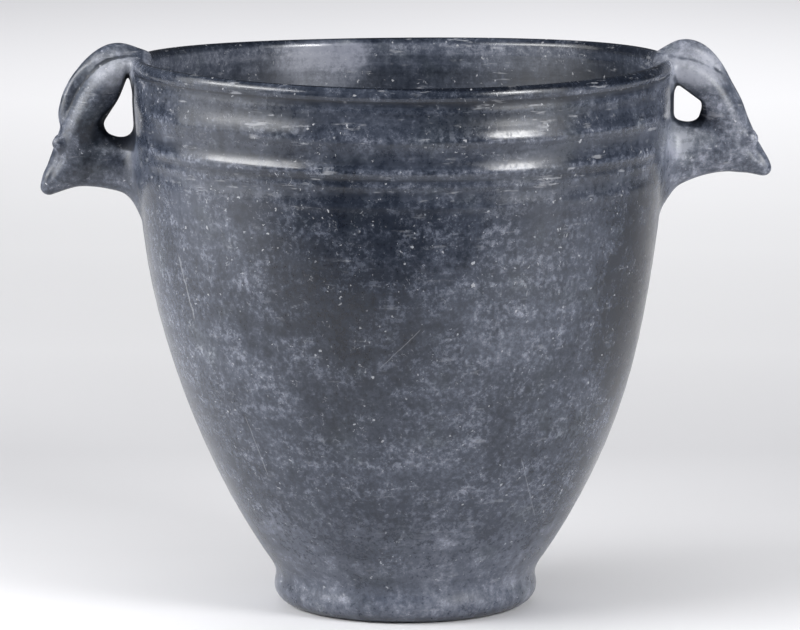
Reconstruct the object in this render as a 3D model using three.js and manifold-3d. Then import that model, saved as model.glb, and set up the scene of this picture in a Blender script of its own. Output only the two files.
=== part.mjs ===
// A wide-mouthed pottery krater with a low ring foot and two bird-headed handles.
// The bowl is thrown on the wheel: a bell-shaped wall, raised rings below the mouth and a small rounded lip.
// Each handle is modelled by hand and luted to the wall before firing, so the vessel is one piece of clay.
// Units are millimetres and +Z is up. The origin is the middle of the foot, on the surface that it stands on.
import * as THREE from "three";
import { mergeVertices } from "three/addons/utils/BufferGeometryUtils.js";
import Module from "manifold-3d";

const wasm = await Module();
wasm.setup();

// Driving dimensions of the bowl.
const SEGMENTS = 60; // facets round the bowl
const MOUTH_HEIGHT = 301.5; // mean height of the lip
const MOUTH_WAVE = 1.5; // the lip rises this much at the handles and dips as much between them
const MOUTH_WAVE_TURN = THREE.MathUtils.degToRad(12); // its highest points are this far round from the handles
const WAVE_START = 200; // below this height every ring lies level
const LEAN = -2.8; // the mouth stands this far to -X of the foot
const LEAN_START = 80;
const LEAN_END = 200;
const MOUTH_RETURN = 0.9; // above the belly the neck comes back this far to +X
const RETURN_START = 215;
const RETURN_END = 265;
const WALL_FOOT = 20; // the wall's formula runs from this height
const WALL_TOP = 280; // to this one, and is upright above it
const WALL_RADII = [71.3, 132.3, 143.1, 147]; // control radii, evenly spaced between those heights
const WALL_THICKNESS = 5.5;
const PLAIN_TOP = 240; // the plain wall ends here

// Rings raised on the wall below the mouth: middle height, half width and how far each stands out.
const RING_ZONE_BOTTOM = 249;
const RING_ZONE_TOP = 291;
const RINGS = [
  { height: 252.5, spread: 2, rise: 0.5 },
  { height: 258.5, spread: 2.6, rise: 1.3 },
  { height: 274, spread: 5, rise: 1.3 },
];

// Foot and lip.
const FOOT_RADIUS = 72.6;
const FOOT_BULGE = 8.6; // the rounded edge of the foot reaches this far out of its flat ring
const FOOT_HALF_HEIGHT = 9;
const RING_INNER_RADIUS = 50; // the flat ring that the vessel stands on starts here
const RECESS_DEPTH = 5; // hollow under the foot
const RECESS_RADIUS = 45;
const FLOOR_HEIGHT = 14; // inside floor, at the middle
const FLOOR_EDGE_RISE = 3; // the floor is this much higher at its edge
const FLOOR_CORNER = 26; // height where the inside wall begins
const FLOOR_CORNER_WIDTH = 12; // the rounded corner between floor and wall
const LIP_RADIUS = 148.6; // outermost part of the lip's bead
const LIP_HALF_HEIGHT = 4;
const LIP_INSIDE = 270; // below this height the inside follows the wall

// Smooth step from 0 at a to 1 at b.
function smoothStep(a, b, value) {
  const t = THREE.MathUtils.clamp((value - a) / (b - a), 0, 1);
  return t * t * (3 - 2 * t);
}

// Outside radius of the bare wall, a cubic in height.
function wallRadius(z) {
  const t = THREE.MathUtils.clamp((z - WALL_FOOT) / (WALL_TOP - WALL_FOOT), 0, 1);
  const s = 1 - t;
  const [a, b, c, d] = WALL_RADII;
  return a * s ** 3 + 3 * b * s * s * t + 3 * c * s * t * t + d * t ** 3;
}

function insideRadius(z) {
  return wallRadius(z) - WALL_THICKNESS;
}

// Outside radius with the raised rings on it.
function ringedRadius(z) {
  const rise = RINGS.reduce((sum, ring) => {
    return sum + ring.rise * Math.exp(-(((z - ring.height) / ring.spread) ** 2));
  }, 0);
  return wallRadius(z) + rise;
}

// Values from one to another, stepped evenly.
function evenSteps(from, to, steps) {
  return Array.from({ length: steps + 1 }, (_, i) => from + ((to - from) * i) / steps);
}

// Points on part of an ellipse, in the profile plane.
function ellipseArc(centreR, centreZ, halfR, halfZ, fromDeg, toDeg, steps) {
  return evenSteps(fromDeg, toDeg, steps).map((deg) => {
    const angle = THREE.MathUtils.degToRad(deg);
    return new THREE.Vector2(centreR + halfR * Math.cos(angle), centreZ + halfZ * Math.sin(angle));
  });
}

// The bowl's half section: from the middle of the underside, up the outside, over the lip and down to the floor.
function bowlProfile() {
  const footCentre = FOOT_RADIUS - FOOT_BULGE;
  const lipCentre = MOUTH_HEIGHT - LIP_HALF_HEIGHT;
  const lipInner = insideRadius(WALL_TOP);
  const lipMiddle = (LIP_RADIUS + lipInner) / 2;
  const lipHalf = (LIP_RADIUS - lipInner) / 2;
  return [
    new THREE.Vector2(0, RECESS_DEPTH),
    new THREE.Vector2(RECESS_RADIUS, RECESS_DEPTH),
    new THREE.Vector2(RING_INNER_RADIUS, 0),
    ...ellipseArc(footCentre, FOOT_HALF_HEIGHT, FOOT_BULGE, FOOT_HALF_HEIGHT, -90, 30, 5),
    ...evenSteps(WALL_FOOT, PLAIN_TOP, 11).map((z) => new THREE.Vector2(ringedRadius(z), z)),
    ...evenSteps(RING_ZONE_BOTTOM, RING_ZONE_TOP, 14).map((z) => new THREE.Vector2(ringedRadius(z), z)),
    ...ellipseArc(lipMiddle, lipCentre, lipHalf, LIP_HALF_HEIGHT, -35, 180, 6),
    ...evenSteps(LIP_INSIDE, FLOOR_CORNER, 7).map((z) => new THREE.Vector2(insideRadius(z), z)),
    new THREE.Vector2(insideRadius(FLOOR_CORNER) - FLOOR_CORNER_WIDTH, FLOOR_HEIGHT + FLOOR_EDGE_RISE),
    new THREE.Vector2(0, FLOOR_HEIGHT),
  ];
}

// Moves a point of the true form to where the hand-thrown vessel has it: the bowl leans and its mouth waves.
function throwOutOfTrue(point) {
  const angle = Math.atan2(point.y, point.x);
  const wave = MOUTH_WAVE * Math.cos(2 * (angle - MOUTH_WAVE_TURN));
  point.z += wave * smoothStep(WAVE_START, MOUTH_HEIGHT, point.z);
  point.x += LEAN * smoothStep(LEAN_START, LEAN_END, point.z);
  point.x += MOUTH_RETURN * smoothStep(RETURN_START, RETURN_END, point.z);
  return point;
}

// Applies a function to every vertex of a geometry.
function reshape(geometry, move) {
  const positions = geometry.getAttribute("position");
  const point = new THREE.Vector3();
  for (let i = 0; i < positions.count; i += 1) {
    move(point.fromBufferAttribute(positions, i));
    positions.setXYZ(i, point.x, point.y, point.z);
  }
  return geometry;
}

// Turns a half section round the vessel's axis.
function turned(profile) {
  return new THREE.LatheGeometry(profile, SEGMENTS).rotateX(Math.PI / 2);
}

// A closed geometry as a manifold-3d solid.
function solid(geometry) {
  const bare = geometry.clone();
  bare.deleteAttribute("normal");
  bare.deleteAttribute("uv");
  const merged = mergeVertices(bare, 1e-4);
  return new wasm.Manifold(
    new wasm.Mesh({
      numProp: 3,
      vertProperties: merged.getAttribute("position").array,
      triVerts: new Uint32Array(merged.index.array),
    }),
  );
}

// A manifold-3d solid as a three.js geometry.
function geometryOf(body) {
  const mesh = body.getMesh();
  const geometry = new THREE.BufferGeometry();
  geometry.setAttribute("position", new THREE.BufferAttribute(mesh.vertProperties, 3));
  geometry.setIndex(new THREE.BufferAttribute(mesh.triVerts, 1));
  geometry.computeVertexNormals();
  return geometry;
}

// A limb of clay in a handle: an oval section carried along a smooth line in the handle's upright plane.
// Each station is [distance out from the axis, height, half depth in the plane, half width across it].
// The sections turn with the line, or all stand upright.
function limb(stations, sides, upright = false) {
  const places = new THREE.CatmullRomCurve3(stations.map(([out, z]) => new THREE.Vector3(out, 0, z)));
  const sizes = new THREE.CatmullRomCurve3(
    stations.map(([, , deep, wide]) => new THREE.Vector3(deep, wide, 0)),
  );
  const steps = 2 * (stations.length - 1);
  const positions = [];
  const faces = [];
  for (let i = 0; i <= steps; i += 1) {
    const centre = places.getPoint(i / steps);
    const along = upright ? new THREE.Vector3(1, 0, 0) : places.getTangent(i / steps);
    const size = sizes.getPoint(i / steps);
    const across = new THREE.Vector3(-along.z, 0, along.x);
    for (let j = 0; j < sides; j += 1) {
      const turn = (2 * Math.PI * j) / sides;
      const point = centre.clone().addScaledVector(across, size.x * Math.cos(turn));
      positions.push(point.x, size.y * Math.sin(turn), point.z);
    }
  }
  const ends = [places.getPoint(0), places.getPoint(1)];
  ends.forEach((end) => positions.push(end.x, 0, end.z));
  const firstEnd = (steps + 1) * sides;
  for (let j = 0; j < sides; j += 1) {
    const next = (j + 1) % sides;
    for (let i = 0; i < steps; i += 1) {
      const a = i * sides + j;
      const b = i * sides + next;
      faces.push(a, a + sides, b, b, a + sides, b + sides);
    }
    faces.push(firstEnd, j, next);
    faces.push(firstEnd + 1, steps * sides + next, steps * sides + j);
  }
  const geometry = new THREE.BufferGeometry();
  geometry.setAttribute("position", new THREE.Float32BufferAttribute(positions, 3));
  geometry.setIndex(faces);
  return geometry;
}

// A finger hole: its rounded outline in the handle's plane, cut right through the handle.
function fingerHole(outline) {
  const reach = 30; // well past both flanks
  const curve = new THREE.SplineCurve([...outline, outline[0]].map(([out, z]) => new THREE.Vector2(out, z)));
  const shape = new THREE.Shape(curve.getPoints(2 * outline.length).slice(0, -1));
  const block = new THREE.ExtrudeGeometry(shape, { depth: 2 * reach, bevelEnabled: false });
  return block.translate(0, 0, -reach).rotateX(Math.PI / 2);
}

// The two handles were modelled freehand and differ: the bird on -X hangs its head lower.
// neck: from the lip, over and down to the tip of the beak. crest: the raised ridge along the nape.
// throat: the web from under the head back to the wall. strip: the clay smeared on the wall between the roots.
// eye: [distance out, height, distance aside, radius] of the round pellets.
const HANDLES = {
  left: {
    side: -1,
    neck: [
      [140, 296, 7, 13],
      [150, 297, 9, 12.5],
      [159.5, 292.5, 11, 13],
      [168, 282, 12.2, 13.5],
      [175, 268.5, 12.2, 12.5],
      [181, 254.5, 11.5, 10.5],
      [187, 243, 8.8, 7.5],
      [193.2, 234.8, 5.8, 5.2],
      [197.2, 230.4, 3.5, 3.4],
      [199.6, 228.4, 1.8, 2],
    ],
    crest: [
      [141, 299, 3, 6],
      [150, 303.2, 4.8, 6.5],
      [159, 304.8, 5.2, 6.5],
      [168, 300.6, 5.3, 6.3],
      [177, 291.3, 5.3, 6],
      [183.3, 280, 5.2, 5.5],
      [185.6, 270, 4.8, 5],
      [184.5, 261, 3.5, 4],
    ],
    throat: [
      [139, 240, 25, 13],
      [145, 241, 22.6, 13],
      [150, 243, 18.6, 12],
      [157, 245, 16.6, 11],
      [168, 246.6, 16, 11],
      [178, 244.5, 13.2, 10.5],
      [187, 240, 10.4, 8],
      [194, 234.5, 6.6, 5.2],
    ],
    strip: [
      [143.5, 300, 3.5, 14],
      [145.6, 280, 4.5, 11.5],
      [145.6, 258, 4.5, 12],
      [141, 238, 4.5, 13],
    ],
    hole: [
      [151.3, 289.2],
      [148.7, 278],
      [148.6, 266],
      [151.6, 260.5],
      [157, 259.2],
      [162.8, 261.6],
      [165.3, 266],
      [161.6, 273],
      [155.9, 280.5],
    ],
    eye: [189, 256.4, 6.4, 4.4],
  },
  right: {
    side: 1,
    neck: [
      [137, 294, 7, 13],
      [146, 296.3, 9.5, 12.5],
      [156, 294.6, 11, 13],
      [165, 287.5, 12, 13.5],
      [172.4, 276, 12.6, 12.5],
      [178.5, 264.5, 11, 10.5],
      [186, 253, 8.8, 7.5],
      [193, 245.4, 5.4, 5.2],
      [197.6, 241.2, 3.4, 3.4],
      [200, 239.9, 1.8, 2],
    ],
    crest: [
      [137, 298.5, 3, 6],
      [145, 305.2, 5, 7],
      [153, 307.6, 5.4, 7],
      [161.5, 304.8, 5.4, 6.5],
      [169, 297.2, 5.2, 6],
      [175.5, 287, 4.6, 5.5],
      [178.5, 276, 4, 4.5],
    ],
    throat: [
      [135, 245, 25, 13],
      [142, 247, 22.5, 13],
      [149, 250.2, 19.4, 12],
      [156, 252, 17.4, 11],
      [165, 254.4, 16.4, 11],
      [175, 252, 12.4, 10.5],
      [186, 248, 9.2, 8],
      [194, 243.6, 5.2, 5.2],
    ],
    strip: [
      [140.5, 300, 3.5, 14],
      [143, 282, 4.5, 11.5],
      [143, 262, 4.5, 12],
      [138, 240, 4.5, 13],
    ],
    hole: [
      [148.7, 287.3],
      [146.9, 279.5],
      [147.3, 271.6],
      [150, 268.5],
      [154.6, 268],
      [159.4, 270],
      [162.2, 274.4],
      [161.4, 279],
      [157, 282.2],
      [152.6, 285.2],
    ],
    eye: [188.8, 258.8, 6.4, 4.4],
  },
};

// One bird-headed handle as a solid, built on +X and mirrored for the one on -X.
function handle({ side, neck, crest, throat, strip, hole, eye }) {
  const [eyeOut, eyeHeight, eyeAside, eyeRadius] = eye;
  const pieces = [
    limb(neck, 14),
    limb(crest, 10),
    limb(throat, 14, true),
    limb(strip, 14),
    ...[-1, 1].map((flank) => {
      return new THREE.SphereGeometry(eyeRadius, 10, 6).translate(eyeOut, flank * eyeAside, eyeHeight);
    }),
  ];
  const clay = pieces.map(solid).reduce((joined, piece) => joined.add(piece));
  const whole = clay.subtract(solid(fingerHole(hole)));
  return side < 0 ? whole.mirror([1, 0, 0]) : whole;
}

// The space that the handles' roots are kept out of: the inside of the bowl, and a little way into its wall.
function handleLimit() {
  const intoWall = 2;
  const above = MOUTH_HEIGHT + 30; // higher than the handles
  return solid(
    reshape(
      turned([
        new THREE.Vector2(0, WALL_FOOT),
        ...evenSteps(WALL_FOOT, above, 24).map((z) => {
          return new THREE.Vector2(insideRadius(z) + intoWall, z);
        }),
        new THREE.Vector2(0, above),
      ]),
      throwOutOfTrue,
    ),
  );
}

function krater() {
  const bowl = solid(reshape(turned(bowlProfile()), throwOutOfTrue));
  const limit = handleLimit();
  const handles = Object.values(HANDLES).map((spec) => handle(spec).subtract(limit));
  const whole = handles.reduce((joined, one) => joined.add(one), bowl);
  const clay = new THREE.MeshStandardMaterial({ color: 0x4a4e54, roughness: 0.42, metalness: 0 });
  const mesh = new THREE.Mesh(geometryOf(whole), clay);
  mesh.name = "krater";
  return mesh;
}

const vessel = new THREE.Group();
vessel.add(krater());

export default vessel;
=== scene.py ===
import math

import bmesh
import bpy
import numpy as np
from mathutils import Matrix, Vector, kdtree


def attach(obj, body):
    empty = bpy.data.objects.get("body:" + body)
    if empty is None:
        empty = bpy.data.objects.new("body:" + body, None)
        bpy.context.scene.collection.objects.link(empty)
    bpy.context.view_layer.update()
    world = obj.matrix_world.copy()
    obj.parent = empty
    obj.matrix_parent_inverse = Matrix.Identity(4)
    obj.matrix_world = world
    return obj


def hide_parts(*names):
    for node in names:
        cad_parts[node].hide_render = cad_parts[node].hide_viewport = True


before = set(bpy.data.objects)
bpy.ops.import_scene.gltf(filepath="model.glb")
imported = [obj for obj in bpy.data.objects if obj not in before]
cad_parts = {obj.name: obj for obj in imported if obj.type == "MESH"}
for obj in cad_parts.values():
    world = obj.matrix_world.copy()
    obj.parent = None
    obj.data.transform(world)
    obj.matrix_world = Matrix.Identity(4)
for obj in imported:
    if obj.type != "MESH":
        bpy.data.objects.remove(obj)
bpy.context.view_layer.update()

# The bowl. Grey-black clay thrown on the wheel in one pull: a ring foot, a bell-shaped wall, raised
# rings below the mouth and a small rounded lip. The wall is 5.5 mm thick, and the inside is hollow.
# All sizes are in millimetres; z is the height above the ground that the foot stands on.
MM = 0.001  # the frame's unit is the metre
MOUTH_HEIGHT = 301.5
WALL_THICKNESS = 5.5
FOOT_RADIUS = 72.6
FOOT_EDGE = 12.0  # how round the foot's outer edge is
LIP_RADIUS = 148.2
LIP_MIDDLE = 297.4  # height of the middle of the lip's round edge
LIP_HALF_HEIGHT = 4.1
BELL_START, BELL_END = 20, 280  # heights between which the wall is a bell


def ramp(start, end, value):
    """A smooth step from 0 at start to 1 at end."""
    t = np.clip((value - start) / (end - start), 0, 1)
    return t * t * (3 - 2 * t)


def bell(z):
    """Outside radius of the plain wall: a cubic between the foot and the neck, then upright."""
    t = np.clip((z - BELL_START) / (BELL_END - BELL_START), 0, 1)
    s = 1 - t
    return 71.3 * s**3 + 3 * 132.3 * s * s * t + 3 * 143.1 * s * t * t + 147 * t**3


# Each ring: middle height, spread up the wall, and how far it stands out (if less than 0, is pressed in).
FINGER_RINGS = [
    (238.0, 2.6, 0.18),
    (245.0, 2.4, -0.15),
    (249.4, 2.2, 0.40),
    (256.6, 3.2, 1.45),
    (264.6, 3.6, -0.35),
    (284.0, 4.4, -0.55),
    (291.6, 1.6, -0.35),
]


def rings(angle, z):
    """The rings at this place. The topmost one is broad and low on the left, narrower on the right."""
    even = sum(rise * np.exp(-(((z - height) / spread) ** 2)) for height, spread, rise in FINGER_RINGS)
    right = ramp(-0.3, 0.4, np.cos(angle))
    spread = 5.4 - 2.2 * right
    topmost = np.exp(-(((z - 274.3 + 0.6 * right) / spread) ** 2))
    return even + (1.05 + 0.4 * right) * topmost


def wobble(angle, z):
    """The small unevenness of a hand-thrown wall, in millimetres of radius."""
    slow = 0.16 * np.sin(2 * angle + z / 70 + 0.8) + 0.10 * np.sin(3 * angle - z / 45 + 2.1)
    quick = 0.06 * np.sin(5 * angle + z / 19 + 0.3) + 0.04 * np.sin(9 * angle - z / 12)
    pulls = 0.05 * np.sin(z / 2.3 + 1.2 * np.sin(angle)) + 0.04 * np.sin(z / 1.37 + 2 * angle)
    return (slow + quick + pulls) * ramp(12, 40, z)


def sponged_flat(angle):
    """How much of the rings is left: they were sponged down beside the handles."""
    from_handle = np.degrees(np.arcsin(np.abs(np.sin(angle))))
    return 0.2 + 0.8 * ramp(8, 30, from_handle)


def outside(angle, z):
    """Outside radius of the wall with its rings and unevenness."""
    return bell(z) + rings(angle, z) * sponged_flat(angle) + wobble(angle, z)


def lean(z):
    """How far the bowl's middle has drifted along X at this height."""
    return -2.8 * ramp(80, 200, z) + 0.9 * ramp(215, 265, z)


def mouth_wave(angle):
    """How far the lip rises above its mean height: highest near the two handles."""
    return 1.5 * np.cos(2 * (angle - math.radians(12)))


def arc(middle_r, middle_z, half_r, half_z, start, end, count):
    """Points of the outline along part of an ellipse, between two angles in degrees."""
    turn = np.radians(np.linspace(start, end, count))
    return np.column_stack([middle_r + half_r * np.cos(turn), middle_z + half_z * np.sin(turn)])


def up_the_wall(heights, inset=0.0):
    """Points of the outline on the plain wall, or this far inside it."""
    return np.column_stack([bell(heights) - inset, heights])


def bowl_outline():
    """Half section from the middle of the underside, up the outside and over the lip, to the inside floor.
    The last column is 1 where the wall carries the rings."""
    inside_top = bell(BELL_END) - WALL_THICKNESS
    lip_r = (LIP_RADIUS + inside_top) / 2
    recess = np.linspace(0, 43, 10)
    floor = np.linspace(50, 0, 9)
    foot_neck = [(72.5, 12.0), (72.2, 13.8), (71.9, 15.6), (71.8, 17.2), (71.95, 18.8)]
    flare = [(72.5, 20.6), (73.4, 22.6)]
    before = [
        np.column_stack([recess, 5 + 0.25 * np.cos(recess * 0.55)]),
        arc(45.5, 1.7, 3.4, 3.3, 130, 130, 1),
        arc(52.0, 2.6, 5.0, 2.6, 200, 265, 6),
        arc(FOOT_RADIUS - FOOT_EDGE, 10.5, FOOT_EDGE, 10.5, -72, 0, 12),
        np.array(foot_neck + flare),
    ]
    ringed = [
        up_the_wall(np.linspace(25, 232, 46)),
        up_the_wall(np.linspace(234, 292.6, 56)),
    ]
    after = [
        arc(lip_r, LIP_MIDDLE, LIP_RADIUS - lip_r, LIP_HALF_HEIGHT, -52, 90, 11),
        arc(lip_r, LIP_MIDDLE, lip_r - inside_top, LIP_HALF_HEIGHT, 102, 180, 6),
        up_the_wall(np.linspace(291, 262, 7), WALL_THICKNESS),
        up_the_wall(np.linspace(254, 30, 26), WALL_THICKNESS),
        arc(bell(26.0) - WALL_THICKNESS - 13, 28, 13, 12, -10, -80, 6),
        np.column_stack([floor, 15.2 + 0.3 * np.cos(floor * 0.5)]),
    ]
    stretches = [(part, mark) for group, mark in ((before, 0), (ringed, 1), (after, 0)) for part in group]
    return np.vstack([np.column_stack([part, np.full(len(part), mark)]) for part, mark in stretches])


def round_the_wheel():
    """Angles of the facets: fine at the two handles, coarser between them."""
    near = np.radians(np.linspace(-9, 9, 36, endpoint=False))
    far = np.radians(np.linspace(9, 171, 96, endpoint=False))
    half = np.concatenate([near, far])
    return np.concatenate([half, half + math.pi])


def throw_bowl():
    """The bowl's points and faces: the outline turned about Z, a point closing it at each end."""
    outline = bowl_outline()
    angles = round_the_wheel()
    r = outline[1:-1, 0][:, None]
    z = outline[1:-1, 1][:, None] * np.ones_like(angles)
    r = r + wobble(angles, z) + rings(angles, z) * sponged_flat(angles) * outline[1:-1, 2][:, None]
    z = z + mouth_wave(angles) * ramp(200, MOUTH_HEIGHT, z)
    x = r * np.cos(angles) + lean(z)
    y = r * np.sin(angles)
    ring_points = np.stack([x, y, z], axis=-1).reshape(-1, 3)
    poles = [[0, 0, outline[0, 1]], [0, 0, outline[-1, 1]]]
    rows, count = len(outline) - 2, len(angles)
    faces = []
    for i in range(rows - 1):
        for j in range(count):
            k = (j + 1) % count
            faces.append((i * count + j, i * count + k, (i + 1) * count + k, (i + 1) * count + j))
    under, floor = rows * count, rows * count + 1
    for j in range(count):
        k = (j + 1) % count
        faces.append((under, k, j))
        faces.append((floor, (rows - 1) * count + j, (rows - 1) * count + k))
    return np.vstack([ring_points, poles]), faces


def clay_object(name, points, faces):
    """A new object in the scene, from points in millimetres."""
    mesh = bpy.data.meshes.new(name)
    mesh.from_pydata((np.asarray(points) * MM).tolist(), [], faces)
    mesh.validate()
    piece = bpy.data.objects.new(name, mesh)
    bpy.context.scene.collection.objects.link(piece)
    return piece


krater = clay_object("krater_clay", *throw_bowl())

# The handles. Each is a bird's neck and head, pinched out of solid clay by hand: the neck arches up from
# the lip and down, a crest runs along the nape, round pellets make the eyes, and under the head a web of
# clay goes back to the wall. Distances out are from the bowl's axis.

# Neck, crest, throat, smear and beak ridge: (out, height, half depth in the handle's plane, half width).
# Cleft and grooves: (out, height, spread, depth). Scoops: (direction in degrees, spread, slope).
# Eye: (out, height, distance to either side of the middle). Hole: (out, height) round its edge.
LEFT_BIRD = {
    "side": -1,
    "neck": [
        (141, 295.5, 5.2, 11),
        (149, 296.6, 8.6, 12),
        (159, 292.6, 10.6, 12.6),
        (167.5, 282.6, 11.9, 13.0),
        (174.6, 268.5, 12.0, 12.4),
        (180.6, 254.5, 11.4, 10.2),
        (187, 243, 8.6, 7.0),
        (193.2, 234.8, 5.6, 4.8),
        (196.9, 230.6, 3.4, 3.2),
    ],
    "crest": [
        (131, 297.5, 2.2, 3.6),
        (139, 300.4, 3.6, 5.2),
        (149, 302.7, 5.8, 6.6),
        (158.5, 304.0, 6.5, 6.9),
        (167.2, 299.8, 6.6, 6.5),
        (177, 291.6, 5.2, 6.0),
        (183.4, 280.4, 5.0, 5.4),
        (185.8, 270.5, 4.6, 4.6),
        (184.5, 261, 3.4, 3.6),
    ],
    "throat": [
        (136, 239.5, 26, 18.5),
        (141, 240.3, 24, 15.5),
        (146, 241.3, 21.4, 13),
        (151, 242.8, 17.6, 11.4),
        (157, 244.2, 15.6, 10.6),
        (168, 246, 15.2, 10.2),
        (178, 244.5, 13.0, 9.8),
        (187, 240, 10.2, 7.4),
        (194, 234.5, 6.4, 4.6),
    ],
    "smear": [
        (143.5, 302, 2.6, 9),
        (144.8, 288, 3.4, 5.5),
        (145, 272, 3.8, 7.5),
        (143.4, 260, 3.4, 8),
        (139, 248, 2.4, 8),
    ],
    "hole": [
        (151.9, 293.2),
        (149.6, 288),
        (148.4, 281),
        (147.9, 273),
        (148.4, 265),
        (151.4, 260.4),
        (157, 259.2),
        (162.6, 261.4),
        (165.3, 266),
        (161.8, 272.4),
        (156.6, 281),
    ],
    "scoops": [(-97, 50, 0.60), (-20, 45, 0.22), (150, 60, 0.10)],
    "cleft": [(152.4, 291, 1.7, 1.4), (150.8, 296, 1.4, 1.6), (149.6, 300.5, 1.1, 0.5)],
    "eye": (188.6, 255.8, 6.0),
    "beak_ridge": [(191.6, 252.5, 1.5, 1.9), (195.6, 242, 1.5, 1.7), (198.6, 233, 1.2, 1.3)],
    "grooves": [
        [(143, 303.2, 1.0, 0.4), (152, 303.6, 1.0, 1.0), (161, 302.3, 1.1, 0.9), (169.5, 298.2, 1.4, 0.7)],
        [(172, 296.2, 2.2, 0.7), (178, 291.0, 3.2, 2.0), (181.4, 284.5, 2.4, 1.6), (184.4, 275.0, 1.1, 0.6)],
        [(188, 248.5, 1.2, 0.5), (192.4, 240.6, 1.1, 0.6), (196.2, 233.2, 0.9, 0.5)],
        [(168, 250, 3.0, 0.5), (172, 240, 3.2, 0.9), (174, 233, 2.4, 0.4)],
    ],
}
RIGHT_BIRD = {
    "side": 1,
    "neck": [
        (138, 294.5, 5.2, 11),
        (146, 296.3, 9.2, 12),
        (156, 294.4, 10.9, 12.6),
        (165, 287.5, 11.8, 13.2),
        (172.2, 276, 12.3, 12.4),
        (178.4, 264.5, 10.8, 10.2),
        (186, 253, 8.6, 7.0),
        (193, 245.4, 5.2, 4.8),
        (197.4, 241.2, 3.2, 3.2),
    ],
    "crest": [
        (129, 297, 2.2, 3.6),
        (137, 301.2, 3.4, 5.4),
        (145, 303.9, 5.7, 6.8),
        (153, 306.0, 6.6, 7.2),
        (160.8, 303.2, 6.8, 6.8),
        (169, 297.2, 4.8, 5.6),
        (175.2, 287, 4.0, 4.6),
        (179, 276, 3.0, 3.4),
    ],
    "throat": [
        (133, 244, 26, 18.5),
        (138, 245.8, 24, 15.5),
        (143.5, 247.5, 21.6, 13),
        (149, 250, 18.6, 11.6),
        (156, 251.6, 16.6, 10.6),
        (165, 253.4, 15.4, 10.2),
        (175, 252, 12.4, 9.8),
        (186, 248, 9.0, 7.4),
        (194, 243.6, 5.0, 4.6),
    ],
    "smear": [
        (141.4, 302, 2.6, 9),
        (142.6, 290, 3.4, 6.5),
        (142.8, 276, 3.8, 8),
        (141.4, 264, 3.4, 8),
        (137, 252, 2.4, 8),
    ],
    "hole": [
        (148.8, 287.8),
        (147.0, 281),
        (146.8, 275),
        (148.2, 270.6),
        (151.6, 268.1),
        (155.6, 267.8),
        (159.4, 269.8),
        (161.9, 273.8),
        (161.8, 278.4),
        (157.2, 282),
        (152.8, 285),
    ],
    "scoops": [(-52, 34, 0.58), (-110, 45, 0.32), (160, 50, 0.16)],
    "cleft": [(149.2, 286, 1.4, 0.8), (147.4, 291, 1.1, 0.6), (146.4, 296, 1.0, 0.2)],
    "eye": (188.3, 258.3, 6.0),
    "beak_ridge": [(193.4, 254.2, 1.4, 1.8), (197.0, 248, 1.3, 1.6), (199.2, 243.4, 1.0, 1.2)],
    "grooves": [
        [(143, 303.0, 1.0, 0.6), (150, 302.4, 1.0, 1.1), (158, 301.2, 1.0, 1.1), (166, 297.6, 1.0, 1.1)],
        [(165, 298, 1.0, 0.6), (170.2, 295.6, 1.2, 1.2), (173.6, 292.6, 1.0, 0.4)],
        [(188.6, 253.6, 1.2, 0.5), (193.2, 248.6, 1.1, 0.6), (197, 243.6, 0.8, 0.5)],
        [(168, 243.4, 1.6, 0.2), (182, 243.8, 1.8, 0.9), (194, 240.6, 1.2, 0.5)],
    ],
}
CLAY_GRAIN = 0.8  # how finely the handles' surface is sampled
EYE_RADIUS, EYE_DEPTH = 5.0, 3.0
HANDLE_REACH = 24.5  # the luted clay goes no further than this to either side of the middle
LIP_CLEARANCE = 2.5  # it ends this far below the lip's top
SUNK = 0.15  # and lies this far inside the wall, so that the two surfaces cross


def smooth_line(stations, steps=8):
    """A Catmull-Rom line through the stations, with steps points from each to the next."""
    p = np.array(stations, float)
    p = np.vstack([2 * p[0] - p[1], p, 2 * p[-1] - p[-2]])
    t = np.linspace(0, 1, steps, endpoint=False)[:, None]
    spans = []
    for a, b, c, d in zip(p, p[1:], p[2:], p[3:]):
        squared = (2 * a - 5 * b + 4 * c - d) * t**2
        cubed = (3 * b - a - 3 * c + d) * t**3
        spans.append(0.5 * (2 * b + (c - a) * t + squared + cubed))
    return np.vstack([*spans, p[-2:-1]])


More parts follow.
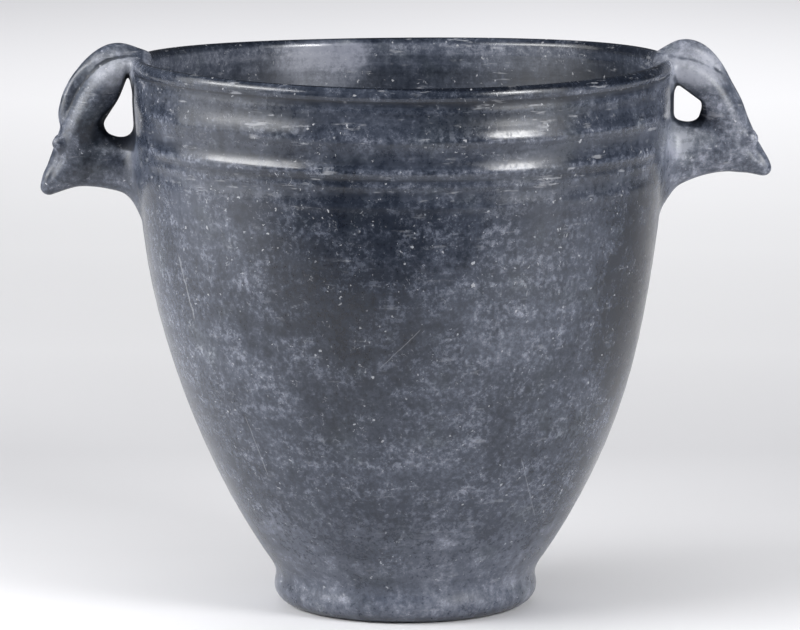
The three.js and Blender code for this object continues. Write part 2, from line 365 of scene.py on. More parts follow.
def roll(out, y, z, stations, upright=False):
    """How far each point lies from a roll of clay, less than 0 inside it.
    An upright roll is sliced straight up and down, instead of square to its own line."""
    past_an_end = 1e3  # a place beyond a slice's ends belongs to another slice
    line = smooth_line(stations)
    best = np.full(out.shape, np.inf)
    apart, along, deep, wide = (np.zeros(out.shape) for _ in range(4))
    for a, b in zip(line, line[1:]):
        run = np.array([1.0, 0.0]) if upright else (b - a)[:2] / np.linalg.norm((b - a)[:2])
        length = (b[0] - a[0]) if upright else np.linalg.norm((b - a)[:2])
        place = (out - a[0]) * run[0] + (z - a[1]) * run[1]
        part = np.clip(place / length, 0, 1)
        middle_out = a[0] + (b[0] - a[0]) * part
        middle_z = a[1] + (b[1] - a[1]) * part
        off_out, off_z = out - middle_out, z - middle_z
        if upright:
            gap = np.abs(place - part * length) * past_an_end + np.abs(off_z)
        else:
            gap = np.hypot(off_out, off_z)
        nearer = gap < best
        best = np.where(nearer, gap, best)
        side = off_z if upright else off_z * run[0] - off_out * run[1]
        apart = np.where(nearer, side, apart)
        along = np.where(nearer, place - part * length, along)
        deep = np.where(nearer, a[2] + (b[2] - a[2]) * part, deep)
        wide = np.where(nearer, a[3] + (b[3] - a[3]) * part, wide)
    apart, along, deep, wide = (field[:, None, :] for field in (apart, along, deep, wide))
    blunt = np.minimum(deep, wide)
    size = np.sqrt((apart / deep) ** 2 + (y / wide) ** 2 + (along / blunt) ** 2) + 1e-6
    steep = np.sqrt((apart / deep**2) ** 2 + (y / wide**2) ** 2 + (along / blunt**2) ** 2) / size + 1e-6
    return np.clip((size - 1) / steep, -9, 30)


def pressed(a, b, soft):
    """Two lumps of clay pressed into one, with a hollow of about this size along the join."""
    mix = np.clip(0.5 + 0.5 * (b - a) / soft, 0, 1)
    return b + (a - b) * mix - soft * mix * (1 - mix)


def cut(a, b, soft):
    """What is left of a outside b, with its new edge rounded."""
    return -pressed(-a, b, soft)


def hole_depth(out, z, outline):
    """How far each point of the handle's plane lies outside the finger hole, less than 0 inside it."""
    ring = smooth_line([*outline, outline[0]], 5)
    nearest = np.full(out.shape, np.inf)
    crossings = np.zeros(out.shape, int)
    for a, b in zip(ring, ring[1:]):
        run = b - a
        part = np.clip(((out - a[0]) * run[0] + (z - a[1]) * run[1]) / (run @ run + 1e-9), 0, 1)
        nearest = np.minimum(nearest, np.hypot(out - a[0] - run[0] * part, z - a[1] - run[1] * part))
        if abs(run[1]) > 1e-9:
            spans = (a[1] <= z) != (b[1] <= z)
            crossings += spans & (out < a[0] + (z - a[1]) * run[0] / run[1])
    return np.where(crossings % 2 == 1, -nearest, nearest)


def nearest_on(out, z, stations, steps=6):
    """Each point's distance from a line of stations, and the line's last two columns nearest to it."""
    line = smooth_line(stations, steps)
    nearest = np.full(out.shape, np.inf)
    values = np.zeros((2, *out.shape))
    for a, b in zip(line, line[1:]):
        run = (b - a)[:2]
        part = np.clip(((out - a[0]) * run[0] + (z - a[1]) * run[1]) / (run @ run + 1e-9), 0, 1)
        gap = np.hypot(out - a[0] - run[0] * part, z - a[1] - run[1] * part)
        nearer = gap < nearest
        nearest = np.where(nearer, gap, nearest)
        values = np.where(nearer, a[2:, None, None] + (b - a)[2:, None, None] * part, values)
    return nearest, values


def drawn_groove(out, z, stations):
    """How deep a finger or a stick drawn along this line has pressed the clay in."""
    nearest, (spread, depth) = nearest_on(out, z, stations)
    return depth * np.exp(-((nearest / spread) ** 2))


def scoop(out, z, bird):
    """How much the finger hole widens for each millimetre towards the front or the back."""
    middle_out, middle_z = np.mean(bird["hole"], axis=0)
    toward = np.degrees(np.arctan2(z - middle_z, out - middle_out))
    widening = np.zeros(out.shape)
    for direction, spread, slope in bird["scoops"]:
        off = (toward - direction + 180) % 360 - 180
        widening = np.maximum(widening, slope * np.exp(-((off / spread) ** 2)))
    return widening


def sponged(field):
    """The field after one light smoothing, as a wet sponge leaves the clay."""
    for axis in range(3):
        n = field.shape[axis]
        inner = np.take(field, range(1, n - 1), axis)
        before, after = np.take(field, range(n - 2), axis), np.take(field, range(2, n), axis)
        ends = [np.take(field, [0], axis), np.take(field, [n - 1], axis)]
        field = np.concatenate([ends[0], (before + 2 * inner + after) / 4, ends[1]], axis)
    return field


def model_bird(bird):
    """The clay of one handle, sampled on a grid: less than 0 inside.
    The last number given to pressed() or cut() is how softly the two lumps run together."""
    out_steps = np.arange(131.0, 204.0, CLAY_GRAIN)
    y_steps = np.arange(-27.2, 27.21, CLAY_GRAIN)
    z_steps = np.arange(206.0, 316.0, CLAY_GRAIN)
    out, z = np.meshgrid(out_steps, z_steps, indexing="ij")
    y = y_steps[None, :, None]
    neck = roll(out, y, z, bird["neck"])
    crest = roll(out, y, z, bird["crest"])
    throat = roll(out, y, z, bird["throat"], upright=True)
    smear = roll(out, y, z, bird["smear"])
    beak_ridge = roll(out, y, z, bird["beak_ridge"])
    clay = pressed(neck, throat, 5.0)
    clay = pressed(clay, crest, 0.9)
    clay = pressed(clay, smear, 4.0)
    clay = pressed(clay, beak_ridge, 1.0)
    eye_out, eye_z, eye_y = bird["eye"]
    in_plane = np.hypot(out - eye_out, z - eye_z)[:, None, :]
    for flank in (-1, 1):
        pellet = EYE_DEPTH * (np.hypot(in_plane / EYE_RADIUS, (y - flank * eye_y) / EYE_DEPTH) - 1)
        clay = pressed(clay, pellet, 1.1)
    flank = ramp(0.8, 4.5, np.abs(y))
    drawn = np.max([drawn_groove(out, z, line) for line in bird["grooves"]], axis=0)
    clay = clay + drawn[:, None, :] * flank
    hole = hole_depth(out, z, bird["hole"])[:, None, :] - scoop(out, z, bird)[:, None, :] * np.abs(y)
    clay = cut(clay, hole, 1.8)
    x = bird["side"] * out[:, None, :]
    angle = np.arctan2(y + 0 * x, x)
    from_axis = np.hypot(x - lean(z)[:, None, :], y)
    wall = from_axis - outside(angle, z[:, None, :])
    lip_top = MOUTH_HEIGHT + mouth_wave(angle)
    wall = np.maximum(wall, z[:, None, :] - lip_top + LIP_CLEARANCE) + SUNK
    soft = 6.0 + 4.0 * ramp(266, 250, z)[:, None, :]
    luted = pressed(clay, wall, soft)
    luted = luted + drawn_groove(out, z, bird["cleft"])[:, None, :] * flank
    luted = cut(luted, 0.93 * soft - clay, 2.0)
    luted = cut(luted, HANDLE_REACH - np.abs(y), 1.5)
    lapped = 6.5 * ramp(291, 299, z)[:, None, :]
    inside_wall = bell(z)[:, None, :] - WALL_THICKNESS + 2 - lapped - from_axis
    return sponged(cut(luted, -inside_wall, 2.0)), (out_steps, y_steps, z_steps)


def skin(field, steps):
    """The surface where the field is zero, as one quad for each crossed edge of the grid."""
    inside = field < 0
    nx, ny, nz = (n - 1 for n in field.shape)
    corner = np.array([(i, j, k) for i in (0, 1) for j in (0, 1) for k in (0, 1)])
    filled = sum(inside[i : i + nx, j : j + ny, k : k + nz].astype(int) for i, j, k in corner)
    cells = np.argwhere((filled > 0) & (filled < 8))
    places = np.zeros((len(cells), 3))
    crossed = np.zeros((len(cells), 1))
    for a in range(8):
        for b in range(a + 1, 8):
            if np.abs(corner[a] - corner[b]).sum() != 1:
                continue
            fa = field[tuple((cells + corner[a]).T)]
            fb = field[tuple((cells + corner[b]).T)]
            cuts = (fa < 0) != (fb < 0)
            share = np.where(cuts, fa / np.where(cuts, fa - fb, 1), 0)[:, None]
            places += cuts[:, None] * (corner[a] + (corner[b] - corner[a]) * share)
            crossed += cuts[:, None]
    points = cells + places / crossed
    number = np.full((nx, ny, nz), -1)
    number[tuple(cells.T)] = np.arange(len(cells))
    quads = []
    for axis in range(3):
        one, two = (axis + 1) % 3, (axis + 2) % 3
        low = np.take(inside, range(field.shape[axis] - 1), axis)
        high = np.take(inside, range(1, field.shape[axis]), axis)
        for way, found in ((1, low & ~high), (-1, ~low & high)):
            at = np.argwhere(found)
            at = at[(at[:, one] > 0) & (at[:, two] > 0)]
            at = at[(at[:, one] < (nx, ny, nz)[one]) & (at[:, two] < (nx, ny, nz)[two])]
            back_one, back_two = np.eye(3, dtype=int)[one], np.eye(3, dtype=int)[two]
            ring = [at, at - back_one, at - back_one - back_two, at - back_two]
            ids = np.stack([number[tuple(c.T)] for c in ring], axis=1)
            quads.append(ids[:, ::way])
    low_corner = np.array([s[0] for s in steps])
    return low_corner + points * CLAY_GRAIN, np.vstack(quads)


def bird_object(name, bird):
    """One handle as an object, mirrored to its own side of the bowl."""
    field, steps = model_bird(bird)
    points, quads = skin(field, steps)
    points[:, 0] *= bird["side"]
    if bird["side"] < 0:
        quads = quads[:, ::-1]
    return clay_object(name, points, quads.tolist())


birds = [bird_object("left_bird", LEFT_BIRD), bird_object("right_bird", RIGHT_BIRD)]

# The luting. While the bowl is leather-hard the handles are pressed on to it with wet clay, and the joins
# are smoothed over by hand, so that the krater is one piece of clay before it is fired.
LUTE_SPREAD = 2.6  # how far from a join the clay is smoothed
SHORTEST_EDGE = 0.08  # slivers shorter than this are closed up
MOVED = 0.002  # a point further than this from every modelled one was made by the join
modelled = np.vstack([[v.co for v in piece.data.vertices] for piece in (krater, *birds)])
for bird in birds:
    lute = krater.modifiers.new("lute", "BOOLEAN")
    lute.operation = "UNION"
    lute.solver = "MANIFOLD"
    lute.object = bird
bpy.context.view_layer.update()
joined = bpy.data.meshes.new_from_object(krater.evaluated_get(bpy.context.evaluated_depsgraph_get()))
krater.modifiers.clear()
krater.data = joined
for bird in birds:
    bpy.data.objects.remove(bird)

shape = bmesh.new()
shape.from_mesh(krater.data)
bmesh.ops.dissolve_degenerate(shape, dist=SHORTEST_EDGE * MM, edges=shape.edges[:])
bmesh.ops.triangulate(shape, faces=[face for face in shape.faces if len(face.verts) > 4])
shape.to_mesh(krater.data)
shape.free()


def nearest_gap(points, others):
    """Distance from each of the points to the nearest of the others."""
    tree = kdtree.KDTree(len(others))
    for n, other in enumerate(others):
        tree.insert(other, n)
    tree.balance()
    return np.array([tree.find(point)[2] for point in points])


def numbers(collection, name, width, kind=np.float32):
    """One property of a whole collection, as an array with this many columns."""
    values = np.empty(len(collection) * width, kind)
    collection.foreach_get(name, values)
    return values.reshape(-1, width)


points = numbers(krater.data.vertices, "co", 3).astype(float)
edges = numbers(krater.data.edges, "vertices", 2, np.int32)


def evened(values, share, passes):
    """The values after drawing each point's value towards its neighbours', nearer ones more."""
    ties = 1 / (np.linalg.norm(points[edges[:, 0]] - points[edges[:, 1]], axis=1) + 0.2 * MM)
    tied = np.bincount(edges.ravel(), np.repeat(ties, 2), len(points))
    for _ in range(passes):
        near = np.zeros_like(values)
        for column in range(values.shape[1]):
            ahead = np.bincount(edges[:, 0], ties * values[edges[:, 1], column], len(points))
            behind = np.bincount(edges[:, 1], ties * values[edges[:, 0], column], len(points))
            near[:, column] = (ahead + behind) / tied
        values = values + share * (near - values)
    return values


seam = nearest_gap(points, modelled) > MOVED * MM
from_seam = nearest_gap(points, points[seam])
smoothed = 0.7 * np.exp(-((from_seam / (LUTE_SPREAD * MM)) ** 2))
points = evened(points, smoothed[:, None], 14)
krater.data.vertices.foreach_set("co", points.astype(np.float32).ravel())
krater.data.update()

# Shade is painted into the hollows and the slip is rubbed thin on the ridges, so each point keeps how far it
# stands out from the clay close to it, and from the clay more broadly round it.
normals = numbers(krater.data.vertices, "normal", 3)
close = ((points - evened(points, 0.6, 8)) * normals).sum(1)
broad = ((points - evened(points, 0.6, 60)) * normals).sum(1)
for name, height, full in (("fine_relief", close, 0.35), ("broad_relief", broad, 1.2)):
    relief = krater.data.attributes.new(name, "FLOAT", "POINT")
    relief.data.foreach_set("value", np.clip(height / (full * MM), -1, 1).astype(np.float32))

# The burnishing pebble never reached inside the finger holes, which stayed rough, and shade is painted into
# them, so each point also keeps how far inside a hole it lies.
hole_shade_share = np.zeros(len(points))
for bird in (LEFT_BIRD, RIGHT_BIRD):
    out, y, z = points[:, 0] * bird["side"] / MM, points[:, 1] / MM, points[:, 2] / MM
    near = (out > 140) & (z > 240)
    out, y, z = out[near], y[near], z[near]
    gap = hole_depth(out, z, bird["hole"]) - scoop(out, z, bird) * np.abs(y)
    hole_shade_share[near] = np.maximum(hole_shade_share[near], ramp(1.5, 0.5, gap) * ramp(15, 12.5, np.abs(y)))
holes = krater.data.attributes.new("finger_hole_shade", "FLOAT", "POINT")
holes.data.foreach_set("value", hole_shade_share.astype(np.float32))

for polygon in krater.data.polygons:
    polygon.use_smooth = True

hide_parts("krater")
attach(krater, "root")

# The surface. The clay is grey-black from a smoky kiln, and was rubbed with a pebble before firing, so it
# has a soft gloss. It is cloudy where smoke reached it unevenly and worn to pale specks, scuffs and a few
# scratches. Shade is painted into the hollows, the finger holes, under the necks, along the lip's inner
# edge, at the right-hand edge and along the foot's lower edge, and light is painted on the necks and the
# inside wall, with a painted reflection on the inside back wall.
clay = bpy.data.materials.new("burnished_clay")
clay.use_nodes = True
tree = clay.node_tree
shader = tree.nodes["Principled BSDF"]


def node(kind, *inputs, **settings):
    """A new shader node. Inputs are sockets or plain values, in the order of the node's own."""
    made = tree.nodes.new("ShaderNode" + kind)
    for name, value in settings.items():
        setattr(made, name, value)
    for socket, value in zip(made.inputs, inputs):
        if isinstance(value, bpy.types.NodeSocket):
            tree.links.new(value, socket)
        elif value is not None:
            socket.default_value = value
    return made


def calc(operation, *inputs):
    """The result of one sum."""
    return node("Math", *inputs, operation=operation).outputs[0]


def total(*parts):
    """All the parts added up."""
    whole = parts[0]
    for part in parts[1:]:
        whole = calc("ADD", whole, part)
    return whole


def times(a, b):
    """One multiplied by the other."""
    return calc("MULTIPLY", a, b)


def fade(value, start, end, low=0.0, high=1.0):
    """Goes smoothly from low to high as the value goes from start to end."""
    return node("MapRange", value, start, end, low, high, interpolation_type="SMOOTHSTEP").outputs[0]


millimetres = node("VectorMath", node("TexCoord").outputs["Object"], operation="SCALE")
millimetres.inputs["Scale"].default_value = 1 / MM
place = millimetres.outputs[0]
place_x, place_y, place_z = node("SeparateXYZ", place).outputs


def stretched(x, y, z, shift=0.0):
    """The place with each direction scaled, so that a pattern runs long ways in the smaller ones."""
    longer = node("VectorMath", place, (x, y, z), operation="MULTIPLY").outputs[0]
    return node("VectorMath", longer, (shift, shift, shift), operation="ADD").outputs[0]


def mottle(size, detail, roughness=0.55, at=None, twist=0.0):
    """Cloudy noise with blotches of about this size in millimetres, from 0 to 1."""
    made = node("TexNoise", at or place)
    made.inputs["Scale"].default_value = 1 / size
    made.inputs["Detail"].default_value = detail
    made.inputs["Roughness"].default_value = roughness
    made.inputs["Distortion"].default_value = twist
    return made.outputs[0]


def smoke(middle, reach, ragged):
    """A cloud round this place with a ragged edge, from 1 in its middle to 0 past its reach."""
    off = node("VectorMath", place, middle, operation="SUBTRACT").outputs[0]
    off = node("VectorMath", off, reach, operation="DIVIDE").outputs[0]
    away = node("VectorMath", off, operation="LENGTH").outputs["Value"]
    return fade(total(away, times(calc("SUBTRACT", ragged, 0.5), 1.3)), 1.15, 0.45)


crumble = node("TexNoise", place)
crumble.inputs["Scale"].default_value = 1 / 1.6
crumble.inputs["Detail"].default_value = 2
crumbled = node("VectorMath", crumble.outputs["Color"], (0.5, 0.5, 0.5), operation="SUBTRACT").outputs[0]
crumbled = node("VectorMath", crumbled, (3.4, 3.4, 3.4), operation="MULTIPLY").outputs[0]
chipped_place = node("VectorMath", place, crumbled, operation="ADD").outputs[0]


def fleck(cell, reach, share):
    """Small ragged pale chips, about one to a cell in this share of the cells."""
    cells = node("TexVoronoi", chipped_place)
    cells.inputs["Scale"].default_value = 1 / cell
    chosen = node("SeparateColor", cells.outputs["Color"]).outputs[0]
    size = fade(chosen, 1 - share, 1, 0, reach / cell)
    return fade(calc("SUBTRACT", size, cells.outputs["Distance"]), 0, 0.25 * reach / cell)


def measured(from_start, direction):
    """How far a place lies along this direction."""
    return node("VectorMath", from_start, tuple(direction), operation="DOT_PRODUCT").outputs["Value"]


def scratch(start, end, width, ragged):
    """A thin scratch on the front, between two places given as across and up."""
    run = Vector((end[0] - start[0], 0, end[1] - start[1]))
    from_start = node("VectorMath", place, (start[0], 0, start[1]), operation="SUBTRACT").outputs[0]
    along = measured(from_start, run / run.length_squared)
    off = measured(from_start, Vector((run.z, 0, -run.x)).normalized())
    off = calc("ABSOLUTE", total(off, times(calc("SUBTRACT", ragged, 0.5), 4 * width)))
    ends = times(fade(along, -0.02, 0.06), fade(along, 1.02, 0.94))
    return times(times(fade(off, width, 0.2 * width), ends), fade(place_y, -10, -30))


relief = node("Attribute", attribute_name="fine_relief").outputs["Fac"]
form = node("Attribute", attribute_name="broad_relief").outputs["Fac"]
# Painted shade inside the finger holes, which are also made duller.
painted_shade_holes = node("Attribute", attribute_name="finger_hole_shade").outputs["Fac"]
handles = total(fade(place_x, -146, -154), fade(place_x, 144, 152))
right_side = fade(place_x, 130, 150)
left_side = fade(place_x, -138, -154)
neck = fade(place_z, 232, 248)

# Patterns. The first five go from the broadest to the finest; wheel marks and dashes run round the bowl, and
# the pebble's strokes run up it.
cloud = mottle(62, 3, 0.5, twist=0.4)
patch = mottle(17, 4, 0.6, stretched(1, 1, 1, 40))
blotch = mottle(6.5, 4, 0.62, stretched(1, 1, 1, 90))
grain = mottle(3.0, 5, 0.72)
fine = mottle(1.2, 3, 0.65, stretched(1, 1, 1, 7))
wheel = mottle(3.2, 4, 0.62, stretched(0.045, 0.045, 1.0))
wheel_fine = mottle(1.0, 3, 0.65, stretched(0.05, 0.05, 1.0, 30))
strokes = mottle(5.5, 3, 0.6, stretched(0.9, 0.9, 0.13, 17))
dashes = mottle(2.6, 3, 0.6, stretched(0.16, 0.16, 1.0, 60))

# Where smoke reached the clay most, and painted shade at the right-hand edge.
front_smoke = smoke((-38, -138, 202), (68, 75, 66), patch)
# Painted shade: the right-hand edge of the body darkened.
painted_shade_right_edge = times(smoke((130, -58, 164), (34, 60, 82), patch), 1.8)
back_smoke = smoke((35, 138, 190), (80, 60, 70), patch)
# Pale clouds on the front, and a painted reflection: the bright patch on the inside back wall.
pale_cloud_and_reflection = total(
    smoke((52, -128, 200), (48, 50, 66), patch),
    times(smoke((-46, 132, 286), (32, 40, 22), patch), 3.4),
    smoke((-122, -80, 262), (40, 60, 44), patch),
)
smoke_and_painted_shade = calc("MINIMUM", total(front_smoke, painted_shade_right_edge, back_smoke), 1.8)

# Where it is worn, rubbed, chipped or paler, and where light and shade are painted on.
worn_patch = fade(patch, 0.44, 0.62)
bloom = times(fade(grain, 0.46, 0.70), total(0.35, times(worn_patch, 0.5)))
# Painted highlight: the tops of the two necks paler, where the lamps shine on them, but not in the grooves.
painted_highlight_necks = total(
    smoke((-160, -10, 296), (17, 17, 12), blotch),
    smoke((157, -12, 298), (24, 17, 13), blotch),
)
painted_highlight_necks = times(painted_highlight_necks, fade(relief, -0.45, 0.05, 0.15, 1))
pale_web = total(
    smoke((149, -14, 258), (11, 14, 13), blotch),
    times(smoke((-146, -14, 249), (6, 14, 8), blotch), 0.6),
)
# Painted shade: darker under each neck, beside its finger hole.
painted_shade_webs = total(
    smoke((-173, -12, 262), (9, 14, 10), blotch),
    smoke((165, -12, 269), (6, 12, 5), blotch),
)
lip = times(fade(place_z, 290, 296), calc("SUBTRACT", 1, handles))
flat_place = node("VectorMath", place, (1, 1, 0), operation="MULTIPLY").outputs[0]
from_axis = node("VectorMath", flat_place, operation="LENGTH").outputs["Value"]
# Painted shade: a dark line along the inner top of the lip, away from the handles.
painted_shade_lip_edge = times(fade(from_axis, 147.6, 146.6), fade(place_z, 296.5, 298.5))
painted_shade_lip_edge = times(painted_shade_lip_edge, fade(calc("ABSOLUTE", place_y), 16, 34))
# Painted light: the upper inside wall paler, most on the left.
painted_light_inner_wall = times(fade(from_axis, 144.5, 142.5), fade(place_z, 230, 250))
painted_light_inner_wall = times(painted_light_inner_wall, fade(place_x, 115, 45, 0.3, 1))
curl = calc("ABSOLUTE", calc("SUBTRACT", mottle(4.6, 2, 0.5, stretched(1, 1, 1, 130)), 0.5))
curls = times(times(fade(curl, 0.022, 0.004), fade(blotch, 0.54, 0.66)), fade(fine, 0.42, 0.6))
ridges = times(fade(relief, 0.15, 0.9), fade(grain, 0.36, 0.6))
ridges = times(times(ridges, calc("SUBTRACT", 1, times(lip, 0.8))), fade(place_z, 4, 26))
# Painted shade in the hollows, above the foot.
painted_shade_hollows = times(fade(relief, -0.1, -0.85), fade(place_z, 22, 34))
chips = total(
    times(fleck(2.4, 0.55, 0.40), fade(patch, 0.46, 0.58)),
    times(fleck(3.4, 0.8, 0.22), fade(patch, 0.38, 0.50)),
    fleck(9.0, 1.35, 0.22),
)
scuffs = times(times(fade(dashes, 0.60, 0.70), fade(patch, 0.44, 0.58)), total(0.35, times(neck, 0.65)))
scratches = total(
    scratch((-122, 204), (-113, 168), 0.55, blotch),
    scratch((-14, 150), (8, 172), 0.35, blotch),
    scratch((-86, 118), (-74, 84), 0.3, blotch),
    scratch((62, 96), (70, 60), 0.3, blotch),
)

# How pale the clay is, from 0 to 1: an even grey, then everything that lightens or darkens it, painted light
# and shade among them.
tone = total(
    0.375,
    times(calc("SUBTRACT", cloud, 0.5), 0.55),
    times(smoke_and_painted_shade, -0.20),
    times(pale_cloud_and_reflection, 0.10),
    times(calc("SUBTRACT", patch, 0.5), 0.46),
    times(calc("SUBTRACT", blotch, 0.5), total(0.34, times(worn_patch, 0.20))),
    times(calc("SUBTRACT", grain, 0.5), total(0.32, times(worn_patch, 0.20))),
    times(calc("SUBTRACT", fine, 0.5), total(0.26, times(worn_patch, 0.16))),
    times(calc("SUBTRACT", strokes, 0.5), 0.28),
    times(calc("SUBTRACT", wheel, 0.5), total(0.10, times(neck, 0.16))),
    times(bloom, 0.11),
    times(handles, times(calc("SUBTRACT", blotch, 0.5), 0.40)),
    times(handles, times(calc("SUBTRACT", grain, 0.5), 0.55)),
    times(left_side, 0.13),
    times(painted_shade_lip_edge, -0.30),
    times(right_side, 0.32),
    times(painted_highlight_necks, 0.34),
    times(pale_web, 0.30),
    times(painted_shade_webs, -0.22),
    times(painted_light_inner_wall, 0.32),
    times(fade(place_z, 75, 6), 0.24),
    times(ridges, 0.22),
    times(painted_shade_hollows, -0.30),
    times(painted_shade_holes, -0.45),
    # Painted shade: darker along the foot's lower edge, where it curves under.
    times(fade(place_z, 6, 1.5), -0.2),
    times(fade(place_z, 24, 3), times(fade(blotch, 0.4, 0.6), 0.06)),
)
# How much of the surface is rubbed or chipped away, down to the paler clay under it, with the painted
# highlight on the necks.
pale = total(
    times(chips, 0.8),
    times(curls, 0.5),
    times(scuffs, 0.45),
    times(scratches, 0.28),
    times(painted_highlight_necks, 0.3),
)
pale = calc("MINIMUM", pale, 1.0)



def colour_steps(value, first, last, between):
    """A colour that goes from first to last as the value goes from 0 to 1, through those between."""
    made = node("ValToRGB", value)
    stops = made.color_ramp.elements
    stops[0].position, stops[0].color = 0.0, (*first, 1)
    stops[1].position, stops[1].color = 1.0, (*last, 1)
    for position, colour in between:
        stops.new(position).color = (*colour, 1)
    return made.outputs["Color"]


def painted(share, under, over, blend="MIX"):
    """The colour under with this share of the colour over on it."""
    made = node("Mix", data_type="RGBA", blend_type=blend)
    into = {socket.identifier: socket for socket in made.inputs}
    tree.links.new(share, into["Factor_Float"])
    tree.links.new(under, into["A_Color"])
    into["B_Color"].default_value = (*over, 1)
    return next(socket for socket in made.outputs if socket.identifier == "Result_Color")


slip = colour_steps(
    tone,
    (0.0055, 0.008, 0.015),
    (0.27, 0.285, 0.345),
    [
        (0.25, (0.015, 0.020, 0.032)),
        (0.45, (0.038, 0.046, 0.066)),
        (0.62, (0.076, 0.087, 0.117)),
        (0.80, (0.150, 0.164, 0.205)),
    ],
)
olive = times(fade(mottle(24, 3, 0.5, stretched(1, 1, 1, 210)), 0.55, 0.7), 0.35)
tinted = painted(olive, slip, (0.98, 1.0, 0.86), "MULTIPLY")
tree.links.new(painted(pale, tinted, (0.40, 0.41, 0.44)), shader.inputs["Base Color"])

# How dull it is: least where the pebble rubbed hardest, more where it is worn, in the hollows and in the
# finger holes.
polished = times(calc("MAXIMUM", fade(form, 0.05, 0.7), lip), fade(place_z, 40, 80))
dullness = total(
    0.31,
    times(polished, -0.10),
    times(calc("SUBTRACT", patch, 0.5), 0.25),
    times(calc("SUBTRACT", grain, 0.5), 0.25),
    times(bloom, 0.16),
    times(painted_shade_hollows, 0.2),
    times(painted_shade_holes, 0.35),
    times(pale, 0.3),
    times(handles, 0.15),
)
tree.links.new(dullness, shader.inputs["Roughness"])
shader.inputs["Anisotropic"].default_value = 0.5
shader.inputs["Anisotropic Rotation"].default_value = 0.25
tree.links.new(node("Tangent", direction_type="RADIAL", axis="Z").outputs[0], shader.inputs["Tangent"])

# How high the surface stands, in the marks that are too fine to model.
height = total(
    times(wheel, calc("SUBTRACT", 0.5, times(polished, 0.3))),
    times(wheel_fine, calc("SUBTRACT", 0.35, times(polished, 0.25))),
    times(grain, calc("SUBTRACT", 0.45, times(polished, 0.2))),
    times(fine, 0.12),
    times(blotch, 0.5),
    times(chips, -0.4),
    times(painted_shade_hollows, -0.2),
)
bump = node("Bump")
bump.inputs["Strength"].default_value = 0.42
bump.inputs["Distance"].default_value = 0.22 * MM
tree.links.new(height, bump.inputs["Height"])
tree.links.new(bump.outputs[0], shader.inputs["Normal"])

krater.data.materials.clear()
krater.data.materials.append(clay)

# The studio. A runner of pale paper lies flat under the krater. Its grey is painted light and shade: a
# little darker just behind the krater, palest about a metre and a half behind it, and brighter towards the
# right.
# All sizes and places from here on are in metres.
LEFT, RIGHT, FRONT, BACK = -1.5, 1.4, -0.55, 4.8  # the paper's edges
floor_mesh = bpy.data.meshes.new("floor")
corners = [(LEFT, FRONT, 0), (RIGHT, FRONT, 0), (RIGHT, BACK, 0), (LEFT, BACK, 0)]
floor_mesh.from_pydata(corners, [], [(0, 1, 2, 3)])
floor = bpy.data.objects.new("floor", floor_mesh)
bpy.context.scene.collection.objects.link(floor)
paper = bpy.data.materials.new("pale_paper")
paper.use_nodes = True
tree = paper.node_tree  # node() now adds to the paper's nodes
paper_shader = tree.nodes["Principled BSDF"]
across, along, _ = node("SeparateXYZ", node("TexCoord").outputs["Object"]).outputs
# Painted light and shade on the paper: its grey at each share of the way back.
painted_light_greys = [
    (0.004, 0.73),
    (0.017, 0.66),
    (0.041, 0.62),
    (0.08, 0.70),
    (0.134, 0.80),
    (0.21, 0.85),
    (0.31, 0.89),
    (0.44, 0.88),
    (0.75, 0.79),
]
between = [(position, (grey, grey, grey + 0.02)) for position, grey in painted_light_greys]
shade = colour_steps(fade(along, 0, 4), (0.78, 0.78, 0.80), (0.62, 0.62, 0.64), between)
painted_light_right = node("VectorMath", shade, operation="SCALE")
tree.links.new(fade(across, -0.15, 0.25, 0.99, 1.06), painted_light_right.inputs["Scale"])
tree.links.new(painted_light_right.outputs[0], paper_shader.inputs["Base Color"])
paper_shader.inputs["Roughness"].default_value = 0.9
floor_mesh.materials.append(paper)

# The lamps. Each side has a big soft one and a low strip, which draws the shine on the rings. A wide one
# overhead and one over the far end of the paper give no shine, so that the lip's edge stays dark.


def aimed(place, aim):
    """The turn that points a lamp or a camera at this place from that one."""
    return (Vector(aim) - Vector(place)).to_track_quat("-Z", "Y").to_euler()


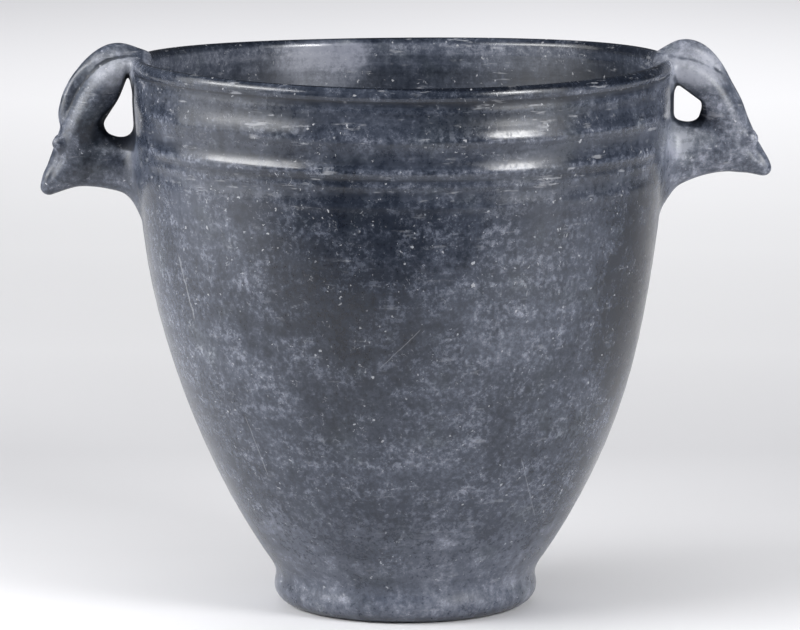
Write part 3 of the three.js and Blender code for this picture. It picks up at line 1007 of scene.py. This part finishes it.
def lamp(name, place, aim, width, height, watts):
    """A rectangular lamp, itself out of sight."""
    light = bpy.data.lights.new(name, "AREA")
    light.shape = "RECTANGLE"
    light.size, light.size_y = width, height
    light.energy = watts
    thing = bpy.data.objects.new(name, light)
    bpy.context.scene.collection.objects.link(thing)
    thing.location = place
    thing.visible_camera = False
    thing.rotation_euler = aimed(place, aim)
    return thing


lamp("left_lamp", (-1.18, -0.21, 0.62), (0, 0, 0.25), 1.18, 1.15, 10.5)
lamp("left_strip", (-1.27, -0.576, 0.76), (-0.08, -0.12, 0.26), 1.2, 0.36, 19)
lamp("right_lamp", (1.05, -0.76, 0.5), (0, 0, 0.25), 0.72, 0.9, 5.6)
lamp("right_strip", (1.036, -0.95, 0.76), (0.06, -0.13, 0.26), 0.42, 0.4, 14)
top_lamp = lamp("top_lamp", (0, -0.1, 2.1), (0, -0.1, 0), 2.0, 2.0, 18)
far_lamp = lamp("far_lamp", (0, 3.4, 2.2), (0, 3.6, 0), 2.4, 2.2, 80)
top_lamp.visible_glossy = False
far_lamp.visible_glossy = False

# The room. Its walls are far off: bright where they are seen past the paper, but giving the krater
# hardly any light of their own.
ROOM_LIGHT, ROOM_SEEN = 0.07, 0.8
world = bpy.data.worlds.new("studio")
world.use_nodes = True
tree = world.node_tree  # and now to the room's
backing = tree.nodes["Background"]
backing.inputs["Color"].default_value = (0.97, 0.97, 1, 1)
brightness = node("MapRange", node("LightPath").outputs["Is Camera Ray"], 0, 1, ROOM_LIGHT, ROOM_SEEN)
tree.links.new(brightness.outputs[0], backing.inputs["Strength"])
bpy.context.scene.world = world
bpy.context.scene.view_settings.view_transform = "Standard"

# The camera. It stands nearly three metres off with a long lens, above the height of the handles,
# and looks a little down into the mouth.
CAMERA_PLACE = (-0.003, -2.849, 0.574)
CAMERA_AIM = (-0.003, 0, 0.160)
camera = bpy.data.objects.new("camera", bpy.data.cameras.new("camera"))
bpy.context.scene.collection.objects.link(camera)
camera.location = CAMERA_PLACE
camera.rotation_euler = aimed(CAMERA_PLACE, CAMERA_AIM)
camera.data.lens = 235
bpy.context.scene.camera = camera
